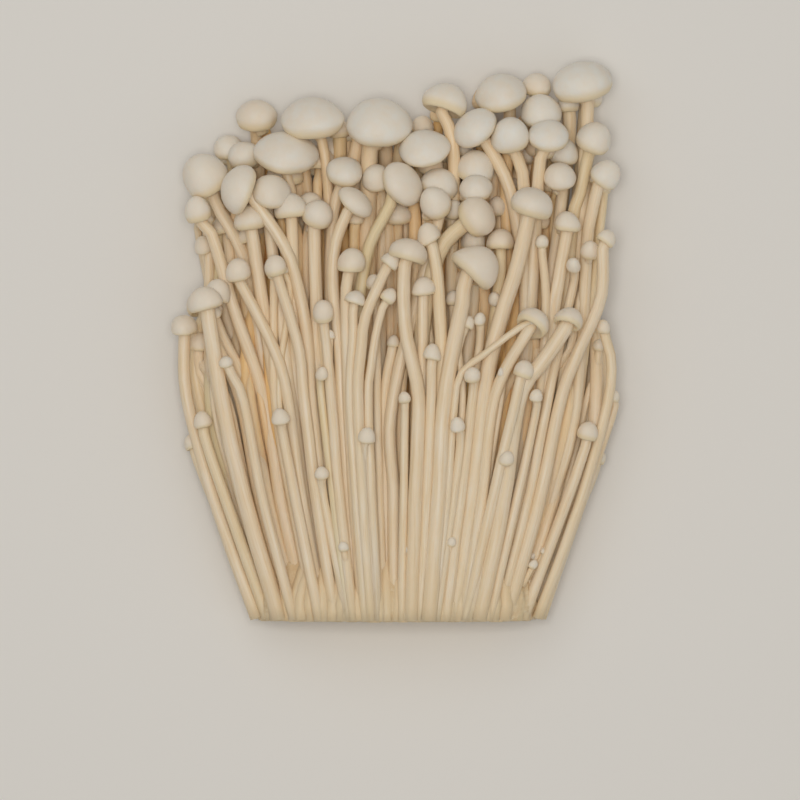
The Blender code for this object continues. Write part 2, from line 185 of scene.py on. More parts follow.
SECOND_ROW = (
    grown(-29.6, 51, 16, 17.2, 11.3, 8, 30, 3.4, ((-29.5, 44), (-28.3, 37), (-25.5, -15))),
    grown(-51.8, 44.8, 15, 12, 10.5, -30, 20, 3.2, ((-48.3, 36.3), (-40.5, 20.8), (-33.9, -14.4))),
    grown(-13.9, 45.4, 18, 9.8, 7.1, 15, 30, 3.2, ((-16, 41.3), (-17.6, 29.1), (-17.5, -15))),
    grown(-5.3, 44, 17, 8.2, 6.6, -10, 30, 3.0),
    grown(1.8, 42, 22, 12.6, 9, 60, 35, 3.6, ((-1.8, 36.3), (-7.7, 24.3), (-10.4, 6.7), (-11, -15))),
    grown(7.3, 51.9, 19, 13.6, 9.6, -10, 35, 3.4),
    grown(20.4, 57.5, 18, 12.8, 8.8, -42, 30, 3.4, ((24.8, 51.5), (30.1, 40.5), (33.6, 21.1), (38, -15))),
    grown(30, 55.4, 19, 10.4, 8.8, -12, 35, 3.4, ((31.2, 49.9), (33.9, 40.5), (34, -15))),
    grown(21.2, 46.9, 15, 10.3, 8, 15, 15, 3.2),
    grown(11.5, 42.2, 17, 10.2, 7.8, 20, 20, 3.2),
    grown(40.4, 55.3, 19, 11, 7.8, -3, 35, 3.2, ((38.9, 50.7), (37.6, 41.3), (34, -15))),
    grown(44.7, 51, 11, 8.4, 7, 5, 20, 3.0),
    grown(52.9, 54.6, 15, 9.5, 7.8, 22, 25, 3.2, ((50.4, 50.1), (49.1, 40.5), (46.7, 29.9), (43, -15))),
    grown(56, 44.9, 16, 8, 7, 35, 15, 3.2, ((54.1, 41.9), (52, 34.1), (50.9, 26.7), (48, -15))),
    grown(43.5, 44.2, 18, 8.6, 6.9, -3, 35, 3.2),
    grown(27, 36.3, 12, 5.5, 5, 0, 20, 2.6),
)

THIRD_ROW = (
    grown(-42.8, 40.7, 22, 13.2, 8, -65, 15, 3.4,
          ((-36, 34.6), (-30, 25.3), (-27.3, 17.6), (-24.2, 3.5), (-22.7, -14.4))),
    grown(-33.5, 40.3, 21, 11, 8.3, 5, 30, 3.2),
    grown(-53.4, 35.3, 18, 7, 7.3, -15, 20, 3.2, ((-49.8, 29.2), (-46.9, 20), (-43.2, 7.5), (-35.7, -14.4))),
    grown(-28.5, 36, 20, 9, 6.5, -5, 5, 3.2, ((-28, 30), (-26.5, -15))),
    grown(-39.1, 32.9, 19, 9, 6.5, -5, 5, 3.2, ((-38.7, 29.3), (-32, -15))),
    grown(-21, 34.1, 21, 8.3, 7, 20, 30, 3.2, ((-21, 30.4), (-21.8, 18.9), (-20.6, -15))),
    grown(-23.2, 37, 15, 6.6, 5.4, 0, 15, 2.6),
    grown(-10.8, 37.3, 23, 10.4, 5.8, 43, 20, 3.4,
          ((-13.6, 33.2), (-16.6, 25.4), (-17, 14.4), (-15.5, 0.7), (-14.7, -15))),
    grown(0.4, 34.1, 15, 7, 5.5, 0, 20, 2.6),
    grown(10, 37, 23, 8.5, 8.8, -25, 40, 3.2, ((5.9, 35.2), (1.6, 28), (-1, -15))),
    grown(21, 41, 19, 9, 7, -10, 30, 3.2),
    grown(21.7, 33.3, 23, 10.9, 8, 62, 25, 3.8, ((17.3, 30.7), (11.2, 23.7), (7, 5), (6, -15))),
    grown(15.2, 35.2, 17, 5, 5, 0, 20, 2.6),
    grown(36, 36.9, 24, 11.8, 7.3, 15, 15, 4.0, ((35.5, 32.5), (32.2, 20.8), (26.2, 1.1), (23.2, -15.5))),
    grown(45.5, 32, 20, 7.2, 5, 3, 10, 3.2, ((44.5, 29.3), (41.6, 7.5), (39, -15))),
    grown(-52, 26, 9, 5, 4.5, -10, 20, 2.6),
)

FRONT_ROW = (
    grown(8, 28.5, 25, 6.4, 5.3, -25, 10, 3.2, ((8.5, 26.4), (10.9, 15.5), (11.7, 0), (11.5, -15))),
    grown(3.2, 24, 27, 10.6, 5.8, 18, 0, 3.8, ((3.1, 20), (1.8, 11.9), (2.3, 2.1), (5.6, -14.9))),
    grown(-1.5, 21.5, 27, 5.1, 4, 32, 0, 3.0, ((-2.4, 20.8), (-8.3, 6.7), (-9.6, -2.1), (-10.4, -14.9))),
    grown(-12, 21.5, 25, 7.5, 6, 9, 5, 3.0, ((-12.5, 18.4), (-13.6, 14.1), (-13, -15))),
    grown(21.8, 20.3, 26, 13.6, 9.2, 45, 0, 4.5, ((19.8, 16.6), (17.5, 10.1), (15.7, 2.1), (12.7, -14.9))),
    grown(27.5, 27, 19, 7.5, 5.6, 0, 0, 3.0),
    grown(20.4, 27.3, 17, 6.7, 6, 0, 10, 2.8),
    grown(7, 14.5, 25, 6.4, 4.8, 0, 5, 2.8, ((7, 12), (6.5, -15))),
    grown(-2, 12, 26, 4.4, 4, 39, 0, 2.5, ((-3.2, 10.1), (-5.6, 2.1), (-6.9, -6.7), (-7.7, -14.9))),
    grown(-11, 11.5, 26, 5.6, 3.6, 18, 0, 2.6, ((-11.2, 10.7), (-11.7, 2.1), (-12.5, -14.9))),
    grown(9.5, -3, 27, 4.9, 4.3, 8, 5, 2.6, ((9.2, -5), (9, -15))),
    grown(-19.6, 8, 26, 5.6, 5.6, 0, 30, 2.8, ((-20, 5.1), (-18.7, -2.1), (-17.6, -14.9))),
    grown(-20, -8.5, 27, 3.5, 3.4, 0, 30, 2.4),
    grown(36.6, 5.1, 25, 9, 6.6, 35, -28, 3.2, ((34.7, 0.8), (25.9, -14.9))),
    grown(45.9, 6.1, 26, 7.6, 5.6, 22, -22, 4.0, ((45.1, 4.5), (38.8, -5.5), (32.5, -15.5))),
    grown(33.8, -7.6, 27, 5.4, 4.6, 20, 5, 2.8, ((32.3, -9.3), (27.5, -15.5))),
    grown(20, -9, 27, 4.3, 4, 0, 25, 2.6),
    grown(55, 4, 18, 4, 3.5, 0, 20, 2.6, ((55.2, 2.1), (57.1, -3.5), (56.5, -12.3))),
    grown(47, 20.5, 22, 4, 4.8, 0, 50, 2.6),
    grown(51.5, 24.5, 19, 5, 4.8, 10, 40, 2.6),
    grown(56, 27.5, 22, 5.2, 4, 35, -5, 3.2, ((55.7, 25.3), (54.4, 12), (48, -3.5), (43.7, -15.5))),
    grown(38.6, 26.6, 21, 3.5, 3.4, 0, 30, 2.3, ((38.9, 25.3), (39.7, 9.3), (38, -15))),
    grown(-32.5, 20, 25, 5.9, 5.3, -15, 15, 2.8, ((-31.7, 17.3), (-26.4, -1.3), (-24.8, -14.4))),
    grown(-42.5, 19, 22, 6.7, 5.9, -10, 20, 3.0, ((-41.6, 15.5), (-33.1, -1.3), (-29.1, -14.4))),
    grown(-51.3, 11.2, 23, 9.4, 6.2, -14, 5, 3.9, ((-50.4, 8), (-46.9, -14.4))),
    grown(-57, 4.5, 15, 7.2, 4.8, -3, 20, 3.2, ((-57.3, 1.9), (-56.3, -14.4))),
    grown(-45.5, -5.5, 25, 3.7, 2.8, -5, 20, 2.6, ((-44.5, -6.7), (-41.1, -14.4))),
    grown(26, 11.5, 21, 3.5, 4, 0, 45, 2.3),
    grown(22, 6, 24, 3.3, 3.3, 0, 30, 2.2),
)

LOW_ROW = (
    grown(2, -15, 27, 3.2, 3, 0, 15, 2.3),
    grown(37, -14.5, 25, 3.6, 3.2, 5, 20, 2.4),
    grown(58, -14.5, 14, 3.4, 3, 8, 15, 2.4),
    grown(-31, -20, 26, 5, 4.2, -8, 20, 2.6),
    grown(-8, -25, 27, 4.6, 4, 5, 20, 2.4),
    grown(16, -22, 27.5, 4, 3.6, -5, 25, 2.4),
    grown(-52, -21, 18, 5.2, 4.4, -12, 5, 2.8),
    grown(-55, -27, 10, 4.6, 4, -18, -5, 2.6),
    grown(51, -24, 19, 5.6, 4.8, 14, 10, 2.8),
    grown(54, -31, 9, 4.4, 3.8, 18, 0, 2.6),
    grown(29, -31, 26, 4.2, 3.6, 6, 25, 2.4),
    grown(-20, -35, 26, 3.8, 3.2, -4, 30, 2.4),
)

# The smallest mushrooms that show between the others, and one thin stem that crosses in front.
TINY_ROW = (
    grown(15, 11.5, 20, 4.3, 3.8, 0, 10, 2.4),
    grown(19, 5, 24, 3.5, 3.8, 20, 5, 2.2),
    grown(-17.8, 1.8, 24, 2.6, 2.4, 0, 20, 1.6),
    grown(27.8, -8.2, 25, 2.3, 2.2, 0, 20, 1.6),
    grown(54, -1, 13, 3.2, 3, 5, 10, 2.0),
    grown(-6.1, 15.7, 22, 4.2, 4, -5, 10, 2.4),
    grown(-47.5, 13.6, 19, 7, 5.6, 20, 5, 2.8),
    grown(-53, 0, 11, 5.5, 4.5, 0, 10, 3.0),
    grown(36.0, 5.4, 26.5, 2.4, 2.0, 55, 0, 2.1, ((31.6, 3), (22.7, -3.9), (17.3, -8.2), (15.4, -15))),
    grown(-1, 0, 21, 3.2, 3, 5, 10, 2.6, ((-1.1, -2.1), (-3.2, -14.9))),
)

# Mushrooms whose caps hide under the others, and whose stems fill the gaps below and beside them.
GAP_ROW = (
    grown(-15.6, 57.0, 8, 6.0, 4.8, -4, 8, 3.6, ((-15.2, 47), (-13.0, 20), (-11.0, -15))),
    grown(-9.6, 57.0, 11, 6.5, 5.0, 4, 8, 3.8, ((-11.2, 48), (-9.6, 20), (-8.0, -15))),
    grown(1.6, 56.0, 9, 6.0, 4.8, 4, 8, 3.6, ((0.4, 46), (0.6, 20), (0.4, -15))),
    grown(-26.0, 57.0, 8, 6.0, 4.8, -6, 8, 3.6, ((-24.6, 44), (-20.0, 20), (-17.0, -15))),
    grown(-46.0, 38.0, 7, 6.0, 4.8, -14, 8, 3.4, ((-44.0, 26), (-40.0, 8), (-34.0, -15))),
    grown(18.0, 52.0, 8, 6.0, 4.8, 6, 8, 3.6, ((15.0, 40), (13.0, 20), (11.0, -15))),
    grown(34.0, 50.0, 8, 6.0, 4.8, 8, 8, 3.6, ((31.0, 40), (28.0, 20), (24.0, -15))),
    grown(-3.5, 57.5, 6, 6.0, 4.8, 0, 8, 4.0, ((-3.0, 47), (-3.6, 20), (-3.4, -15))),
    grown(-12.8, 56.0, 5, 5.0, 4.2, 0, 8, 3.6, ((-13.2, 48), (-11.8, 20), (-10.0, -15))),
    grown(11.2, 50.5, 7, 5.5, 4.4, 4, 8, 3.6, ((12.2, 44), (10.5, 20), (9.0, -15))),
    grown(-51.5, 10.0, 10, 5.0, 4.0, -6, 8, 3.6, ((-53.8, 2), (-54.2, -7), (-53.0, -15))),
    grown(-49.0, 9.0, 14, 4.6, 4.0, -6, 8, 3.4, ((-50.0, 2), (-47.8, -15))),
    grown(51.8, 8.0, 9, 3.6, 3.2, 4, 8, 3.3, ((52.6, 1), (51.8, -15))),
    grown(49.2, 4.0, 13, 3.6, 3.2, 6, 8, 3.4, ((49.4, -4), (48.2, -15))),
    grown(-2.4, 34.0, 13, 4.5, 3.8, 0, 8, 3.4, ((-2.2, 26), (-1.9, 4), (-1.8, -15))),
    grown(-22.8, 33.5, 14, 4.6, 3.8, -4, 8, 3.4, ((-24.2, 26), (-24.0, 10), (-22.0, -15))),
    grown(-27.5, 47.0, 8, 5.0, 4.2, -4, 8, 3.6, ((-26.6, 40), (-24.5, 20), (-21.0, -15))),
    grown(-4.6, 41.0, 12, 4.6, 3.8, 0, 8, 3.5, ((-5.6, 32), (-5.9, 20), (-5.4, -15))),
    grown(46.0, 64.0, 8, 6.0, 4.8, 0, 8, 3.6, ((46.4, 57), (44.4, 38), (38.0, -15))),
    grown(25.2, 49.0, 9, 5.5, 4.4, 6, 8, 3.6, ((25.6, 42), (23.5, 25), (19.5, -15))),
    grown(2.2, 37.0, 10, 4.6, 3.8, 0, 8, 3.6, ((2.2, 29), (1.4, 10), (0.6, -15))),
    grown(-19.6, 37.0, 10, 4.6, 3.8, 0, 8, 3.4, ((-20.0, 27), (-18.6, 10), (-16.5, -15))),
    grown(-46.5, 14.5, 9, 4.6, 3.8, -6, 8, 3.4, ((-45.8, 7), (-43.0, -3), (-40.0, -15))),
    grown(54.6, 3.0, 8, 4.0, 3.4, 4, 8, 3.2, ((55.2, -4), (54.6, -15))),
)


def share_between(value, start, end):
    """How far a value is on its way from start to end, from 0 to 1."""
    return min(max((value - start) / (end - start), 0.0), 1.0)


def under_layer():
    """The mushrooms on the side that the bunch lies on, spread evenly with a seeded draw."""
    draw = random.Random(UNDER_SEED)
    layer = []
    for number in range(UNDER_COUNT):
        share = (number * GOLDEN_SHARE) % 1.0
        x = UNDER_REACH * (2.0 * share - 1.0)
        reach = UNDER_TOP_Y - UNDER_ROUND * x * x
        y = reach - draw.uniform(0.0, UNDER_TOP_Y) * draw.uniform(0.3, 1.0)
        width = draw.uniform(5.0, 10.5) * (0.75 + 0.25 * y / 60.0)
        height = width * draw.uniform(0.7, 0.8)
        rise = draw.uniform(-2.0, 5.0) * (1.0 + (x / 40.0) ** 2)
        z = 0.5 * width + max(rise, -LYING_PRESS)
        lean = 0.35 * x + draw.uniform(-LEAN_SPREAD, LEAN_SPREAD)
        tip = draw.uniform(-25.0, 5.0)
        stem = draw.uniform(2.6, 3.4)
        way = ((UNDER_SPREAD * x, GATHER_Y),)
        layer.append(grown(x, y, z, width, height, lean, tip, stem, way))
    return layer


def axis_of(mushroom):
    """The way that the crown points."""
    lean, tip = math.radians(mushroom.lean), math.radians(mushroom.tip)
    return Vector((math.sin(lean) * math.cos(tip), math.cos(lean) * math.cos(tip), math.sin(tip)))


def true_height(mushroom):
    """The cap's own height, from how high it looks with its crown tipped."""
    tip = math.radians(mushroom.tip)
    hidden = 0.5 * mushroom.width * math.sin(tip)
    seen = 0.5 * mushroom.height
    along = math.sqrt(max(seen * seen - hidden * hidden, 0.3 * seen * seen)) / math.cos(tip)
    return min(2.0 * along, 0.95 * mushroom.width)


def stem_way(mushroom):
    """The places that a stem passes, from its root in the base to the middle of its cap."""
    top = Vector((mushroom.x, mushroom.y, mushroom.z))
    axis = axis_of(mushroom)
    neck = top - axis * (NECK_SHARE * true_height(mushroom))
    reach = share_between(mushroom.y, GATHER_Y, DRAWN_IN_Y)
    foot_x = mushroom.x * (1.0 - (1.0 - HEAD_SPREAD) * reach)
    if mushroom.way:
        foot_x = mushroom.way[-1][0]
    foot = Vector((foot_x, GATHER_Y, min(max(mushroom.z - FOOT_DROP, FOOT_LOW_Z), FOOT_HIGH_Z)))
    root_x = foot_x * ROOT_SPREAD
    oval = math.sqrt(max(1.0 - (root_x / ROOT_HALF_WIDTH) ** 2, 0.0))
    level = ROOT_RISE * mushroom.z - ROOT_DROP
    level = min(max(level, -ROOT_HALF_THICKNESS), ROOT_HALF_THICKNESS)
    root = Vector((root_x, ROOT_Y, ROOT_MIDDLE_Z + level * oval))
    places = [root]
    if mushroom.y > GATHER_Y + LONG_FROM:
        knee_z = root.z + KNEE_RISE * (foot.z - root.z)
        knee = Vector((foot_x * KNEE_SPREAD, KNEE_Y, knee_z))
        places += [knee, foot]
    for x, y in reversed(mushroom.way[:-1]):
        share = (y - GATHER_Y) / (mushroom.y - GATHER_Y)
        spot = Vector((x, y, foot.z + (neck.z - foot.z) * share))
        if (neck - spot).dot(axis) > NECK_CLEAR:
            places.append(spot)
    if len(mushroom.way) < 2:
        places.append(neck - axis * NECK_RUN)
    return places + [neck, top]


def smooth(places, step):
    """Even steps along a smooth curve through the places."""
    parts = 12
    ends = [places[0] * 2 - places[1]] + places + [places[-1] * 2 - places[-2]]
    fine = []
    for a, b, c, d in zip(ends, ends[1:], ends[2:], ends[3:]):
        for part in range(parts):
            t = part / parts
            point = b * 2 + (c - a) * t + (a * 2 - b * 5 + c * 4 - d) * t**2
            fine.append((point + (b * 3 - a - c * 3 + d) * t**3) * 0.5)
    fine.append(places[-1].copy())
    lengths = [0.0]
    for a, b in zip(fine, fine[1:]):
        lengths.append(lengths[-1] + (b - a).length)
    runs = max(2, round(lengths[-1] / step))
    even, k = [], 0
    for run in range(runs + 1):
        want = lengths[-1] * run / runs
        while k < len(fine) - 2 and lengths[k + 1] < want:
            k += 1
        part = (want - lengths[k]) / max(lengths[k + 1] - lengths[k], 1e-9)
        even.append(fine[k].lerp(fine[k + 1], min(part, 1.0)))
    return even


def stands_clear(cap, others):
    """Whether a cap stands beside the others and not in them."""
    for other in others:
        apart = Vector((cap.x - other.x, cap.y - other.y, cap.z - other.z)).length
        if apart < CAP_CROWDING * (cap.width + other.width):
            return False
    return True


def deep_layer(others):
    """Long mushrooms deep in the bunch, whose smaller caps stand hidden under the ones in front."""
    draw = random.Random(DEEP_SEED)
    rows = BACK_ROW + SECOND_ROW + THIRD_ROW + tuple(m for m in FRONT_ROW if m.width > WIDE_ENOUGH)
    layer = []
    for number in range(DEEP_COUNT):
        above = rows[number % len(rows)]
        width = draw.uniform(*DEEP_WIDTHS) * min(above.width, 1.5 * above.height)
        slack = 0.5 * (above.width - width)
        x = 0.98 * above.x + draw.uniform(-slack, slack)
        y = above.y - 1.0 + draw.uniform(-1.2 * slack, 0.2 * slack)
        low = 0.5 * width + 0.3
        high = max(above.z - 0.4 * above.width, low + 0.5)
        z = low + (high - low) * math.sqrt(draw.random())
        lean = 0.25 * x + draw.uniform(-LEAN_SPREAD, LEAN_SPREAD)
        tip = draw.uniform(0.0, 25.0)
        stem = min(draw.uniform(*DEEP_STEMS), DEEP_STEM_MOST * width)
        way = ((0.90 * x + draw.uniform(-5.5, 5.5), GATHER_Y),)
        mushroom = grown(x, y, z, width, width * DEEP_HEIGHT, lean, tip, stem, way)
        if stands_clear(mushroom, others + layer):
            layer.append(mushroom)
    return layer


def seed_vector(draw):
    """A place of its own in the patterns, so that no two shapes look alike."""
    return Vector((draw.uniform(-50, 50), draw.uniform(-50, 50), draw.uniform(-50, 50)))


def new_pour():
    """An empty shape whose points carry what the finishes read: place and marks."""
    bm = bmesh.new()
    bm.verts.layers.float_vector.new("place")
    bm.verts.layers.float_vector.new("marks")
    return bm


def pour(bm, into):
    """Adds a finished shape to the shape that holds them all."""
    carried = bpy.data.meshes.new("carried")
    bm.to_mesh(carried)
    bm.free()
    into.from_mesh(carried)
    bpy.data.meshes.remove(carried)


def tube(into, rings, sides, section, marks, seed):
    """A closed tube through rings, each a matrix for a unit circle.

    section(around, share) gives the ring's radius at an angle, and marks(share) what the finishes
    read along the tube.
    """
    bm = new_pour()
    place, mark = bm.verts.layers.float_vector["place"], bm.verts.layers.float_vector["marks"]
    drawn = bmesh.ops.create_circle(bm, cap_ends=False, segments=sides, radius=1.0)["verts"]
    edges = bm.edges[:]
    back = Matrix.Identity(4)
    travelled = 0.0
    for k, ring in enumerate(rings):
        if k:
            part = bmesh.ops.extrude_edge_only(bm, edges=edges)["geom"]
            drawn = [piece for piece in part if isinstance(piece, bmesh.types.BMVert)]
            edges = [piece for piece in part if isinstance(piece, bmesh.types.BMEdge)]
            travelled += (ring.translation - rings[k - 1].translation).length
        share = k / (len(rings) - 1)
        for vert in drawn:
            flat = back @ vert.co
            around = math.atan2(flat.y, flat.x)
            radius = section(around, share)
            x, y = math.cos(around), math.sin(around)
            vert[place] = Vector((x * PATTERN_RADIUS, y * PATTERN_RADIUS, travelled)) + seed
            vert[mark] = marks(share)
            vert.co = ring @ Vector((x * radius, y * radius, 0.0))
        back = ring.inverted()
    for vert in bm.verts:
        vert.co.y = max(vert.co.y, CUT_Y)
        vert.co.z = max(vert.co.z, 0.0)
    bmesh.ops.holes_fill(bm, edges=bm.edges[:], sides=sides)
    bmesh.ops.recalc_face_normals(bm, faces=bm.faces[:])
    pour(bm, into)


def rings_along(way, radius_at):
    """Rings square to a way, turned as little as they can be from one to the next."""
    rings = []
    turn = Vector((0, 1, 0)).to_track_quat("Z", "X")
    for k, spot in enumerate(way):
        ahead = way[min(k + 1, len(way) - 1)] - way[max(k - 1, 0)]
        turn = (turn @ Vector((0, 0, 1))).rotation_difference(ahead) @ turn
        radius = radius_at(k / (len(way) - 1))
        rings.append(Matrix.LocRotScale(spot, turn, (radius, radius, 1.0)))
    return rings


def add_stem(into, way, thickness, marks, draw):
    """One stem along its way: slightly bent, oval and fluted, thicker low down."""
    seed = seed_vector(draw)
    flat, flute = draw.uniform(0.02, 0.10), draw.uniform(0.0, 0.04)
    swell, start = draw.uniform(-0.05, 0.05), draw.uniform(0, math.tau)
    spots = []
    for k, spot in enumerate(way):
        wander = noise.noise_vector(Vector((0, 0, 0.35 * k)) + seed)
        spots.append(spot + wander * (0.05 * thickness))

    def radius_at(share):
        flare = STEM_FLARE - (STEM_FLARE - 1.0) * share
        return 0.5 * thickness * flare * (1.0 + swell * math.sin(5.0 * share + start))

    def section(around, share):
        return 1.0 + flat * math.cos(2 * around + start) + flute * math.cos(3 * around + 2 * share)

    tube(into, rings_along(spots, radius_at), STEM_SIDES, section, marks, seed)


def fineness(width):
    """How many sides and rings a cap of a width has."""
    if width >= LARGE_FROM:
        return LARGE_CAP
    return MIDDLE_CAP if width >= MIDDLE_FROM else SMALL_CAP


def cap_profile(rings, rim, peak, lip, hollow):
    """Half of a cap's section in a unit frame: from the crown to the rim, in under it to the stem.

    rim is the height of the widest place, peak how pointed the crown is, lip where the rim turns
    in under the cap, and hollow how far up inside it the gills lie.
    """
    points = []
    for k in range(rings + 1):
        angle = 0.5 * math.pi * k / rings
        height = rim + (0.5 - rim) * math.cos(angle) ** peak
        points.append((math.sin(angle), height + CAP_RISE))
    for k in range(1, 4):
        angle = 0.5 * math.pi * k / 3
        height = rim - (rim + 0.5) * math.sin(angle)
        points.append((lip + (1.0 - lip) * math.cos(angle), height + CAP_RISE))
    for out, up in ((lip - 0.10, 0.35), (0.55 * lip, 0.8), (0.22, 1.0), (0.0, 1.0)):
        points.append((out, hollow * up - 0.5 + CAP_RISE))
    return [Vector((out, 0.0, up)) for out, up in points]


def spun_cap(profile, sides):
    """A closed cap in its unit frame: the profile spun about the upright axis."""
    bm = new_pour()
    verts = [bm.verts.new(point) for point in profile]
    edges = [bm.edges.new(pair) for pair in zip(verts, verts[1:])]
    bmesh.ops.spin(
        bm,
        geom=verts + edges,
        cent=(0, 0, 0),
        axis=(0, 0, 1),
        angle=math.tau,
        steps=sides,
        use_merge=True,
    )
    bmesh.ops.remove_doubles(bm, verts=bm.verts[:], dist=0.001)
    bmesh.ops.recalc_face_normals(bm, faces=bm.faces[:])
    return bm


def cap_placing(mushroom, draw):
    """Sets a unit cap on its stem at its real size, turned at random about its own axis."""
    tipped = axis_of(mushroom).to_track_quat("Z", "X")
    spun = Euler((0.0, 0.0, draw.uniform(0, math.tau))).to_quaternion()
    middle = Vector((mushroom.x, mushroom.y, mushroom.z))
    half = 0.5 * mushroom.width
    size = Vector((half, half, true_height(mushroom)))
    return Matrix.LocRotScale(middle, tipped @ spun, size)


def add_cap(into, mushroom, tone, gap_shade, draw):
    """Spins one cap about its axis, makes it uneven and sets it on its stem."""
    sides, rings = fineness(mushroom.width)
    opened = mushroom.tip < OPENED_TIP
    sharp = 0.0 if opened or mushroom.y > WARM_AT_Y else FRONT_RIM_DROP
    rim = draw.uniform(*OPENED_RIM) if opened else draw.uniform(*CLOSED_RIM) - sharp
    lip = OPENED_LIP if opened else draw.uniform(*CLOSED_LIP) + sharp
    hollow = OPENED_HOLLOW if opened else CLOSED_HOLLOW
    profile = cap_profile(rings, rim, draw.uniform(*CROWN_PEAK), lip, hollow)
    bm = spun_cap(profile, sides)
    place, mark = bm.verts.layers.float_vector["place"], bm.verts.layers.float_vector["marks"]

    seed = seed_vector(draw)
    two, three = draw.uniform(0, math.tau), draw.uniform(0, math.tau)
    oval, lobes = draw.uniform(0.0, 0.05), draw.uniform(0.0, 0.03)
    droop, droop_way = draw.uniform(0.0, 0.10), draw.uniform(0, math.tau)
    skew, skew_way = draw.uniform(0.0, 0.16), draw.uniform(0, math.tau)
    half = 0.5 * mushroom.width
    for vert in bm.verts:
        x, y, z = vert.co
        turn, out = math.atan2(y, x), math.hypot(x, y)
        below = min(max((rim + 0.07 - z) * 5.0, 0.0), 1.0)
        vert[place] = Vector((x, y, z)) * half + seed
        # the second mark is the painted shade of the gaps between the stems
        vert[mark] = (tone, gap_shade, below)
        grow = 1.0 + oval * math.cos(2 * turn + two) + lobes * math.cos(3 * turn + three)
        grow += 0.05 * noise.noise(vert.co * 1.6 + seed)
        lift = -droop * out * out * max(math.cos(turn + droop_way), -0.4)
        if z < rim - 0.05 and 0.2 < out < lip - 0.04:
            lift += 0.02 * math.cos(0.5 * sides * turn)
        slide = skew * max(z - rim, 0.0)
        x, y = x * grow + slide * math.cos(skew_way), y * grow + slide * math.sin(skew_way)
        vert.co = Vector((x, y, z + lift))

    bmesh.ops.transform(bm, matrix=cap_placing(mushroom, draw), verts=bm.verts[:])
    for vert in bm.verts:
        vert.co.z = max(vert.co.z, 0.0)
    pour(bm, into)


def oval_at(y):
    """The base's half width, half thickness and middle height at a place along it."""
    for near, far in zip(BASE_STATIONS, BASE_STATIONS[1:]):
        if y <= far[0]:
            share = max((y - near[0]) / (far[0] - near[0]), 0.0)
            return [a + (b - a) * share for a, b in zip(near[1:], far[1:])]
    return BASE_STATIONS[-1][1:]


def add_base(into, draw):
    """The fused block: a ribbed, felted oval with a flat cut end, flat where it rests."""
    seed = seed_vector(draw)
    turn = Vector((0, 1, 0)).to_track_quat("Z", "X")
    rings = []
    y = BASE_STATIONS[0][0]
    while y < BASE_STATIONS[-1][0]:
        half_width, half_thickness, middle = oval_at(y)
        across = Matrix.Diagonal((half_thickness, half_width, 1.0, 1.0))
        rings.append(Matrix.LocRotScale(Vector((0, y, middle)), turn, None) @ across)
        y += BASE_STEP

    def section(around, share):
        wander = 2.5 * noise.noise(Vector((around, share, 3.0)))
        ridge = abs(math.cos(0.5 * BASE_RIBS * around + wander))
        x, y = 9.0 * math.cos(around), 9.0 * math.sin(around)
        fuzz = noise.noise(Vector((x, y, 16.0 * share)) + seed)
        return 0.985 + BASE_RIDGE * ridge * min(6.0 * share, 1.0) + BASE_FUZZ * fuzz

    tube(into, rings, BASE_SIDES, section, lambda share: (0.5, 0.0, share), seed)


def add_ribs(into, draw):
    """Shorter stems between the long ones, grown into the block side by side."""
    for number in range(RIB_COUNT):
        around = math.tau * (number + draw.uniform(-0.3, 0.3)) / RIB_COUNT
        length = draw.uniform(*RIB_LENGTHS)
        start = draw.uniform(0.88, 0.95)
        way = []
        for step in range(RIB_STEPS + 1):
            share = step / RIB_STEPS
            y = CUT_Y + 0.5 + length * share
            half_width, half_thickness, middle = oval_at(y)
            sink = start - RIB_SINK * share**2
            turned = around + 0.01 * math.sin(0.9 * step + number)
            x, z = sink * half_width * math.cos(turned), sink * half_thickness * math.sin(turned)
            way.append(Vector((x, y, middle + z)))
        tone = draw.random()
        thickness = draw.uniform(*RIB_THICKNESSES)
        # the 0.3 gives every rib a little painted shade of the gaps
        add_stem(into, way, thickness, lambda share: (tone, 0.3, 0.12 * share), draw)


def stub_spots(draw):
    """Where the inner stems show in the cut end: a jittered honeycomb inside the oval."""
    half_width, half_thickness, middle = oval_at(CUT_Y)
    spots = []
    row = 0
    z = middle - half_thickness
    while z < middle + half_thickness:
        x = -half_width + (0.5 * STUB_PITCH if row % 2 else 0.0)
        while x < half_width:
            across = x / (half_width - STUB_MARGIN)
            up = (z - middle) / (half_thickness - STUB_MARGIN)
            if across**2 + up**2 < 1.0:
                spots.append((x + draw.uniform(-0.5, 0.5), z + draw.uniform(-0.4, 0.4)))
            x += STUB_PITCH
        z += STUB_ROW_PITCH
        row += 1
    return spots


def add_stubs(into, draw):
    """The lowest ends of the stems, cut through with the base: each a ring with a soft middle."""
    turn = Vector((0, 1, 0)).to_track_quat("Z", "X")
    for x, z in stub_spots(draw):
        radius = draw.uniform(*STUB_RADII)
        end = CUT_Y + draw.uniform(0.0, 0.18)
        rings = []
        dip = max(draw.uniform(-0.5, 0.6), 0.05)
        profile = ((dip, 0.2), (0.6 * dip, 0.42), (0.0, 0.84), (0.12, 0.95), (0.5, 1.0), (2.5, 1.0))
        for along, share in profile:
            spot = Vector((x, end + along, z))
            rings.append(Matrix.LocRotScale(spot, turn, (radius * share, radius * share, 1.0)))
        flat, start = draw.uniform(0.0, 0.14), draw.uniform(0, math.tau)
        tone = draw.uniform(0.0, 1.0)
        tube(
            into,
            rings,
            STUB_SIDES,
            lambda around, share: 1.0 + flat * math.cos(2 * around + start),
            lambda share: (tone, 0.0, min(2.0 * share, 1.0)),
            seed_vector(draw),
        )


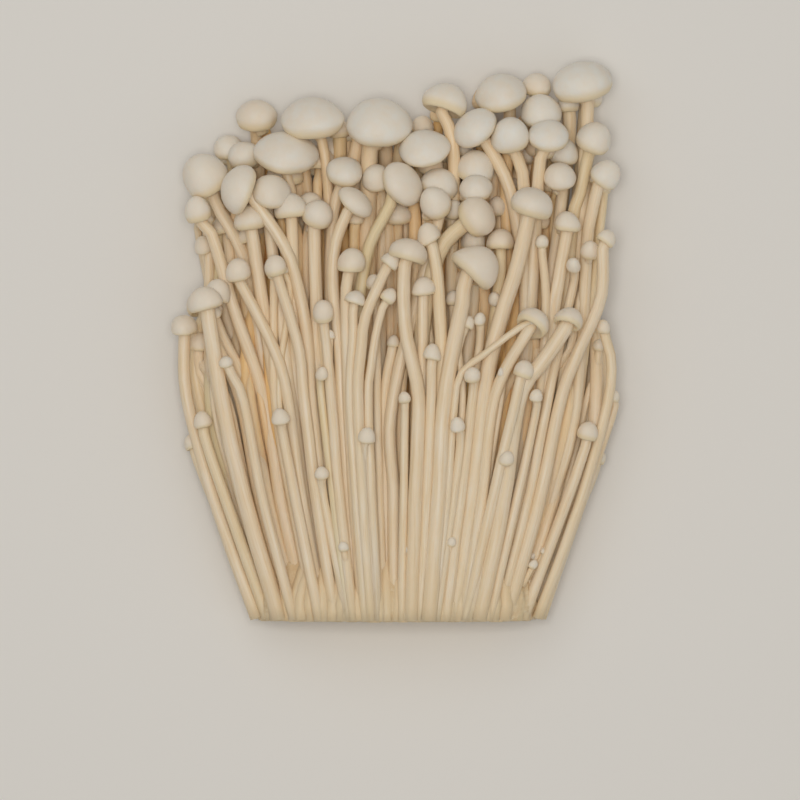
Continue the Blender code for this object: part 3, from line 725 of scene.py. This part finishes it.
def add_pins(stems, caps, draw):
    """The tiny mushrooms that never grew, on and among the foot of the stems."""
    for number in range(PIN_COUNT):
        around = math.tau * (number * GOLDEN_SHARE % 1.0)
        y = draw.uniform(*PIN_FOOT_Y)
        half_width, half_thickness, middle = oval_at(y)
        out = Vector((math.cos(around), 0.0, math.sin(around)))
        foot = Vector((half_width * out.x, y, middle + half_thickness * out.z))
        length = draw.uniform(*PIN_LENGTHS)
        heading = Vector((0.55 * out.x, 1.0, 0.35 * out.z)).normalized()
        head = foot + heading * length + Vector((0, 0, draw.uniform(-0.6, 0.9)))
        width = draw.uniform(*PIN_WIDTHS)
        head.z = max(head.z, 0.6 * width)
        foot.z = max(foot.z, 1.2)
        tone = draw.uniform(0.4, 1.0)
        lean = math.degrees(math.atan2(heading.x, heading.y))
        tip = math.degrees(math.asin(heading.z))
        pin = grown(head.x, head.y, head.z, width, width * 0.9, lean, tip, 0.55 * width)
        way = smooth([foot, foot.lerp(head, 0.5), head], PIN_STEP)
        # the 0.3 here and the 0.2 below give the pins a little painted shade of the gaps
        add_stem(stems, way, pin.stem, lambda share: (tone, 0.3, share), draw)
        add_cap(caps, pin, tone, 0.2, draw)


def risen(places, draw):
    """A deep stem's places with its middle raised, up to just under the stems in front."""
    knee, foot = places[1], places[2]
    lift = max(draw.uniform(*RISEN_Z) - foot.z, 0.0)
    knee.z += 0.6 * lift
    foot.z += lift
    return places


def add_mushrooms(stems, caps, layer, draw, gap_shade_most, rising=False):
    """Grows a layer: browner the deeper they stand, as painted shade for the warm light bounced in the gaps,
    and with warmer caps nearer the base.

    One argument sets how strong that painted shade gets on the deepest, and rising lifts the middles of
    their stems.
    """
    for mushroom in layer:
        tone = draw.random()
        inside = share_between(abs(mushroom.x), GAP_SHADE_GONE_X, GAP_SHADE_FADES_X)
        # painted shade: warmer and browner the lower and the further inside a mushroom stands, for the light
        # bounced in the gaps
        gap_shade = gap_shade_most * inside * share_between(mushroom.z, GAP_SHADE_FROM_Z, GAP_SHADE_AT_Z)
        places = stem_way(mushroom)
        if rising and mushroom.y > GATHER_Y + LONG_FROM:
            places = risen(places, draw)
        outwards = (places[0] - places[1]).normalized()
        cut_end = places[0] + outwards * (places[0].y - CUT_Y - END_GAP)
        way = smooth([cut_end] + places, STEM_STEP)
        add_stem(stems, way, mushroom.stem, lambda share: (tone, gap_shade, share), draw)
        warmth = share_between(mushroom.y, WARM_FROM_Y, WARM_AT_Y)
        add_cap(caps, mushroom, 0.4 * tone + 0.6 * warmth, gap_shade, draw)


def finished(bm, name, material):
    """The piece in metres, smooth, riding on the bunch's one body in place of its plain solid."""
    bmesh.ops.scale(bm, vec=(MM, MM, MM), verts=bm.verts[:])
    mesh = bpy.data.meshes.new(name)
    bm.to_mesh(mesh)
    bm.free()
    mesh.shade_smooth()
    mesh.materials.append(material)
    piece = bpy.data.objects.new(name, mesh)
    bpy.context.scene.collection.objects.link(piece)
    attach(piece, "root")
    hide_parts("enoki_bunch")


def linear(red, green, blue):
    """A colour from its 0 to 255 screen values."""
    parts = []
    for value in (red, green, blue):
        share = value / 255
        parts.append(share / 12.92 if share <= 0.04045 else ((share + 0.055) / 1.055) ** 2.4)
    return (*parts, 1.0)


class Nodes:
    """A material's node tree, with short ways to add what the finishes here need."""

    def __init__(self, name):
        self.material = bpy.data.materials.new(name)
        self.material.use_nodes = True
        self.tree = self.material.node_tree
        self.shader = self.tree.nodes["Principled BSDF"]

    def add(self, kind, **values):
        node = self.tree.nodes.new(kind)
        for key, value in values.items():
            setattr(node, key, value)
        return node

    def link(self, source, target):
        self.tree.links.new(source, target)

    def attribute(self, name):
        return self.add("ShaderNodeAttribute", attribute_name=name).outputs["Vector"]

    def parts(self, vector):
        split = self.add("ShaderNodeSeparateXYZ")
        self.link(vector, split.inputs[0])
        return split.outputs

    def stretched(self, vector, scale):
        node = self.add("ShaderNodeVectorMath", operation="MULTIPLY")
        self.link(vector, node.inputs[0])
        node.inputs[1].default_value = scale
        return node.outputs[0]

    def noise(self, vector, scale, detail, roughness=0.5):
        node = self.add("ShaderNodeTexNoise")
        self.link(vector, node.inputs["Vector"])
        node.inputs["Scale"].default_value = scale
        node.inputs["Detail"].default_value = detail
        node.inputs["Roughness"].default_value = roughness
        return node.outputs["Fac"]

    def ranged(self, value, low, high, to_low=0.0, to_high=1.0):
        node = self.add("ShaderNodeMapRange")
        self.link(value, node.inputs["Value"])
        node.inputs["From Min"].default_value = low
        node.inputs["From Max"].default_value = high
        node.inputs["To Min"].default_value = to_low
        node.inputs["To Max"].default_value = to_high
        return node.outputs[0]

    def mixed(self, share, first, second):
        node = self.add("ShaderNodeMix", data_type="RGBA")
        for key, value in ((0, share), (6, first), (7, second)):
            if isinstance(value, (int, float, tuple)):
                node.inputs[key].default_value = value
            else:
                self.link(value, node.inputs[key])
        return node.outputs[2]

    def bumped(self, height, strength, distance):
        node = self.add("ShaderNodeBump")
        node.inputs["Strength"].default_value = strength
        node.inputs["Distance"].default_value = distance
        self.link(height, node.inputs["Height"])
        self.link(node.outputs[0], self.shader.inputs["Normal"])

    def set(self, **values):
        for key, value in values.items():
            self.shader.inputs[key.replace("_", " ")].default_value = value


CAP_IVORY = linear(239, 235, 225)
CAP_WARM = linear(241, 225, 202)
CAP_BELOW = linear(238, 217, 174)
# painted shade for the caps deep in the bunch: the warm light bounced in the gaps
CAP_GAP_SHADE = linear(240, 205, 158)
STEM_PALE = linear(244, 228, 203)
STEM_CREAM = linear(240, 216, 179)
STEM_STREAK = linear(224, 196, 152)
STEM_GREEN = linear(226, 211, 146)
# painted shade for the stems deep in the bunch: the orange of light bounced in the gaps
STEM_GAP_SHADE = linear(249, 198, 122)
BASE_TAN = linear(232, 208, 168)
BASE_BROWN = linear(224, 196, 153)
BASE_FELT = linear(238, 223, 192)
CUT_PALE = linear(243, 230, 202)
FLOOR_PALE = linear(238, 234, 227)
FLESH_RADIUS = (1.0, 0.86, 0.72)  # how far red, green and blue light spread in the flesh


def cap_finish():
    """Ivory cap skin: matte and slightly velvety, warmer near the base and under the rims, with painted
    shade, browner and warm, on the caps deep down in the bunch.
    """
    n = Nodes("cap_skin")
    place = n.attribute("place")
    tone, gap_shade, below = n.parts(n.attribute("marks"))
    clouds = n.ranged(n.noise(place, 0.30, 3.0), 0.35, 0.68, 0.0, 0.5)
    colour = n.mixed(clouds, CAP_IVORY, CAP_WARM)
    colour = n.mixed(n.ranged(tone, 0.0, 1.0, 0.0, 0.9), colour, CAP_WARM)
    # painted shade: the caps deep in the bunch turn towards a browner cream
    colour = n.mixed(n.ranged(gap_shade, 0.2, 1.0, 0.0, 0.75), colour, CAP_GAP_SHADE)
    colour = n.mixed(n.ranged(below, 0.0, 1.0, 0.0, 0.75), colour, CAP_BELOW)
    n.link(colour, n.shader.inputs["Base Color"])
    fine = n.noise(place, 1.4, 4.0, 0.6)
    n.link(n.ranged(fine, 0.3, 0.7, 0.48, 0.62), n.shader.inputs["Roughness"])
    n.bumped(fine, 0.35, 0.0002)
    n.set(Subsurface_Weight=0.30, Subsurface_Scale=0.0025, Subsurface_Radius=FLESH_RADIUS)
    n.set(Specular_IOR_Level=0.35, Sheen_Weight=0.06, Sheen_Roughness=0.5)
    return n.material


def stem_finish():
    """Cream stem flesh: translucent, with fine fibres and streaks along it and a tanner foot."""
    n = Nodes("stem_flesh")
    place = n.attribute("place")
    tone, gap_shade, share = n.parts(n.attribute("marks"))
    fibres = n.noise(n.stretched(place, (1.0, 1.0, 0.05)), 1.3, 4.0, 0.55)
    clouds = n.noise(n.stretched(place, (0.4, 0.4, 1.0)), 0.10, 2.0)
    colour = n.mixed(n.ranged(fibres, 0.32, 0.68), STEM_PALE, STEM_CREAM)
    colour = n.mixed(n.ranged(clouds, 0.45, 0.75, 0.0, 0.6), colour, STEM_CREAM)
    lines = n.noise(n.stretched(place, (1.0, 1.0, 0.03)), 2.8, 3.0, 0.5)
    colour = n.mixed(n.ranged(lines, 0.52, 0.72, 0.0, 0.5), colour, STEM_STREAK)
    colour = n.mixed(n.ranged(tone, 0.85, 1.0, 0.0, 0.35), colour, STEM_GREEN)
    # painted shade: the stems deep in the bunch turn towards a warm orange
    colour = n.mixed(n.ranged(gap_shade, 0.1, 1.0, 0.0, 0.8), colour, STEM_GAP_SHADE)
    colour = n.mixed(n.ranged(share, 0.03, 0.16, 0.7, 0.0), colour, BASE_TAN)
    n.link(colour, n.shader.inputs["Base Color"])
    n.link(n.ranged(fibres, 0.3, 0.7, 0.40, 0.55), n.shader.inputs["Roughness"])
    n.bumped(fibres, 0.40, 0.0003)
    n.set(Subsurface_Weight=0.22, Subsurface_Scale=0.0018, Subsurface_Radius=FLESH_RADIUS)
    n.set(Specular_IOR_Level=0.4)
    return n.material


def base_finish():
    """Tan, felted base with browner blotches."""
    n = Nodes("base_felt")
    spots = n.add("ShaderNodeTexCoord").outputs["Object"]
    blotch = n.noise(spots, 130.0, 5.0, 0.6)
    fine = n.noise(spots, 900.0, 4.0, 0.6)
    colour = n.mixed(n.ranged(blotch, 0.35, 0.62), BASE_BROWN, BASE_TAN)
    colour = n.mixed(n.ranged(fine, 0.5, 0.7, 0.0, 0.7), colour, BASE_FELT)
    n.link(colour, n.shader.inputs["Base Color"])
    n.link(n.ranged(fine, 0.3, 0.7, 0.65, 0.85), n.shader.inputs["Roughness"])
    n.bumped(fine, 0.6, 0.0004)
    n.set(Subsurface_Weight=0.15, Subsurface_Scale=0.0015, Subsurface_Radius=FLESH_RADIUS)
    return n.material


def stub_finish():
    """The cut stem ends: pale moist fibre inside a tanner skin."""
    n = Nodes("cut_stem")
    spots = n.add("ShaderNodeTexCoord").outputs["Object"]
    tone, _, out = n.parts(n.attribute("marks"))
    blotch = n.noise(spots, 260.0, 4.0, 0.6)
    colour = n.mixed(n.ranged(blotch, 0.35, 0.65), CUT_PALE, STEM_CREAM)
    colour = n.mixed(n.ranged(tone, 0.4, 1.0, 0.0, 0.6), colour, BASE_TAN)
    colour = n.mixed(n.ranged(out, 0.35, 0.75, 0.0, 0.9), colour, BASE_TAN)
    n.link(colour, n.shader.inputs["Base Color"])
    n.bumped(blotch, 0.5, 0.0003)
    n.set(Roughness=0.6)
    n.set(Subsurface_Weight=0.15, Subsurface_Scale=0.0015, Subsurface_Radius=FLESH_RADIUS)
    return n.material


def build_bunch():
    draw = random.Random(LOOKS_SEED)
    noise.seed_set(LOOKS_SEED)  # or the way that the stems wander would start from the clock
    skin, flesh = cap_finish(), stem_finish()
    seen = BACK_ROW + SECOND_ROW + THIRD_ROW + FRONT_ROW + LOW_ROW + TINY_ROW
    under = under_layer() + list(GAP_ROW)
    deep = deep_layer(list(seen) + under)

    caps, stems = new_pour(), new_pour()
    add_mushrooms(stems, caps, seen, draw, SEEN_GAP_SHADE)
    finished(caps, "caps_seen", skin)
    finished(stems, "stems_seen", flesh)

    caps, stems = new_pour(), new_pour()
    add_mushrooms(stems, caps, under, draw, UNDER_GAP_SHADE)
    add_mushrooms(stems, caps, deep, draw, DEEP_GAP_SHADE, rising=True)
    finished(caps, "caps_below", skin)
    finished(stems, "stems_below", flesh)

    caps, stems = new_pour(), new_pour()
    add_pins(stems, caps, draw)
    finished(caps, "pin_caps", skin)
    finished(stems, "pin_stems", flesh)

    base, ribs, stubs = new_pour(), new_pour(), new_pour()
    add_base(base, draw)
    finished(base, "fused_base", base_finish())
    add_ribs(ribs, draw)
    finished(ribs, "base_ribs", flesh)
    add_stubs(stubs, draw)
    finished(stubs, "cut_stems", stub_finish())


# The studio and the camera are in metres.
FLOOR_SIZE = 1.5
FLOOR_DROP = 0.0001  # how far the floor lies below the bunch, so that the two don't flicker
SKY_STRENGTH = 0.30
SKY_COLOUR = (1.0, 0.99, 0.975, 1.0)


def build_floor():
    bm = bmesh.new()
    bmesh.ops.create_grid(bm, x_segments=1, y_segments=1, size=FLOOR_SIZE)
    mesh = bpy.data.meshes.new("floor")
    bm.to_mesh(mesh)
    bm.free()
    n = Nodes("floor_paint")
    n.set(Base_Color=FLOOR_PALE, Roughness=0.8)
    mesh.materials.append(n.material)
    floor = bpy.data.objects.new("floor", mesh)
    floor.location.z = -FLOOR_DROP
    bpy.context.scene.collection.objects.link(floor)


def add_light(name, place, size, power, colour):
    """A soft square light that points at the bunch."""
    light = bpy.data.lights.new(name, "AREA")
    light.size = size
    light.energy = power
    light.color = colour
    lamp = bpy.data.objects.new(name, light)
    lamp.location = place
    lamp.rotation_euler = (-Vector(place)).to_track_quat("-Z", "Y").to_euler()
    bpy.context.scene.collection.objects.link(lamp)


def build_studio():
    add_light("key", place=(-0.20, 0.35, 0.85), size=0.8, power=1.3, colour=(1.0, 0.99, 0.975))
    add_light("above", place=(-0.03, 0.0, 1.10), size=0.30, power=3.2, colour=(1.0, 0.985, 0.96))
    add_light("fill", place=(0.5, -0.5, 0.8), size=1.0, power=0.8, colour=(1.0, 0.995, 0.99))
    world = bpy.data.worlds.new("studio")
    world.use_nodes = True
    sky = world.node_tree.nodes["Background"]
    sky.inputs["Color"].default_value = SKY_COLOUR
    sky.inputs["Strength"].default_value = SKY_STRENGTH
    bpy.context.scene.world = world
    bpy.context.scene.view_settings.view_transform = "Standard"


# The camera looks straight down on the middle of the frame, 213.3 mm wide at the caps' height.
VIEW_CENTRE = (0.0008, -0.0157)
VIEW_WIDTH = 0.2133
CAMERA_HEIGHT = 1.60
CAPS_HEIGHT = 0.020
SENSOR_MM = 36.0


def build_camera():
    lens = bpy.data.cameras.new("camera")
    lens.sensor_width = SENSOR_MM
    lens.lens = SENSOR_MM * (CAMERA_HEIGHT - CAPS_HEIGHT) / VIEW_WIDTH
    lens.clip_start = 0.01
    camera = bpy.data.objects.new("camera", lens)
    camera.location = (*VIEW_CENTRE, CAMERA_HEIGHT)
    bpy.context.scene.collection.objects.link(camera)
    bpy.context.scene.camera = camera


build_camera()
build_studio()
build_floor()
build_bunch()
